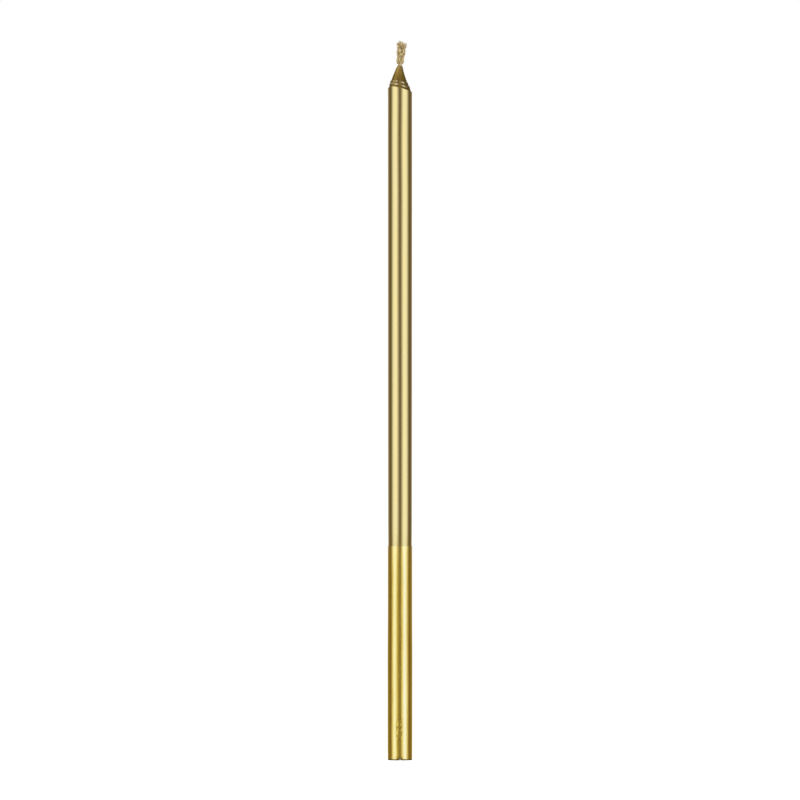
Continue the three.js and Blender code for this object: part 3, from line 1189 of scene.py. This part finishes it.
def makeSurroundMaterial():
    material = bpy.data.materials.new("softLight")
    material.use_nodes = True
    tree = material.node_tree
    tree.nodes.clear()
    place = addNode(tree, "ShaderNodeTexCoord")
    split = addNode(tree, "ShaderNodeSeparateXYZ")
    tree.links.new(place.outputs["Object"], split.inputs[0])
    x, y, z = split.outputs
    turn = mathNode(tree, "ARCTAN2", x, mathNode(tree, "MULTIPLY", y, -1))
    radius = mathNode(tree, "SQRT", mathNode(tree, "MULTIPLY_ADD", x, x, mathNode(tree, "MULTIPLY", y, y)))
    # Close to the gold a point lies at a lesser azimuth than the direction in which it is mirrored
    lever = mathNode(tree, "DIVIDE", studio["mirrorRadius"] * mm, radius)
    bent = mathNode(tree, "MULTIPLY", lever, mathNode(tree, "SINE", mathNode(tree, "MULTIPLY", turn, 0.5)))
    mirrored = mathNode(tree, "ADD", turn, mathNode(tree, "ARCSINE", mathNode(tree, "MINIMUM", bent, 1)))
    azimuth = mathNode(tree, "MULTIPLY_ADD", mirrored, 1 / fullTurn, 0.5)
    foilTones = azimuthRamp(tree, azimuth, foilLight)
    # Near the foot the floor that gloss sees carries a painted shadow
    foot = zoneMix(tree, radius, studio["footShade"], studio["footShadow"], foilTones)
    wall = zoneMix(tree, z, studio["foilZone"], foot, azimuthRamp(tree, azimuth, bothSides(coatLight)))
    whole = zoneMix(tree, z, studio["topZone"], wall, azimuthRamp(tree, azimuth, topLight))
    glow = addNode(tree, "ShaderNodeEmission", Strength=1)
    output = addNode(tree, "ShaderNodeOutputMaterial")
    tree.links.new(whole, glow.inputs["Color"])
    tree.links.new(glow.outputs[0], output.inputs["Surface"])
    material.cycles.emission_sampling = "NONE"
    return material


# One soft surround of floor, wall and roof that only gloss sees: it glows though it is no lamp, and its
# tones are the painted light and shade that the gold mirrors
def makeSurround():
    footRadius, footHeight = studio["surroundFoot"]
    wallRadius = studio["surroundRadius"]
    top = studio["surroundTop"]
    outline = [(footRadius, footHeight), (wallRadius, footHeight), (wallRadius, top)]
    outline.append((studio["roofHole"], top))
    angles = ringAngles(studio["surroundSides"])
    points = [polar(r, angle, z) * mm for angle in angles for r, z in outline]
    faces = []
    for i in range(len(angles)):
        here = i * len(outline)
        there = (i + 1) % len(angles) * len(outline)
        faces += [(here + a, there + a, there + a + 1, here + a + 1) for a in range(len(outline) - 1)]
    mesh = bpy.data.meshes.new("surround")
    mesh.from_pydata(points, [], faces)
    mesh.materials.append(makeSurroundMaterial())
    surround = bpy.data.objects.new("surround", mesh)
    scene.collection.objects.link(surround)
    surround.visible_camera = False
    surround.visible_diffuse = False
    surround.visible_transmission = False
    surround.visible_shadow = False
    surround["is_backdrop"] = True


def makeLamp(name, azimuth):
    width, height = studio["lampSize"]
    light = bpy.data.lights.new(name, "AREA")
    light.shape = "RECTANGLE"
    light.size = width
    light.size_y = height
    light.energy = math.pi * width * height * studio["lampRadiance"]
    lamp = bpy.data.objects.new(name, light)
    turn = frontAngle + math.radians(azimuth)
    lamp.location = polar(studio["lampDistance"], turn, height / 2 + studio["lampLift"])
    aim = Vector((0, 0, studio["lampAim"])) - lamp.location
    lamp.rotation_euler = aim.to_track_quat("-Z", "Y").to_euler()
    lamp.visible_glossy = False  # the surround is what shines in the gold
    lamp.visible_camera = False
    scene.collection.objects.link(lamp)


view = {
    "lens": 400,
    "share": 0.9,  # of the frame's height that the candle fills
    "clip": (0.05, 20),  # metres from the camera
}


def makeCamera():
    low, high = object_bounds()
    height = high[2] - low[2]
    data = bpy.data.cameras.new("camera")
    data.lens = view["lens"]
    camera = bpy.data.objects.new("camera", data)
    distance = height / view["share"] * view["lens"] / data.sensor_width
    data.clip_start, data.clip_end = view["clip"]
    camera.location = (0, -distance, low[2] + height / 2)
    camera.rotation_euler = (math.pi / 2, 0, 0)
    scene.collection.objects.link(camera)
    scene.camera = camera


makeWorld()
makeFloor()
makeSurround()
makeLamp("leftLamp", -studio["lampTurn"])
makeLamp("rightLamp", studio["lampTurn"])
makeCamera()
print("studio made")

scene.view_settings.view_transform = "Standard"
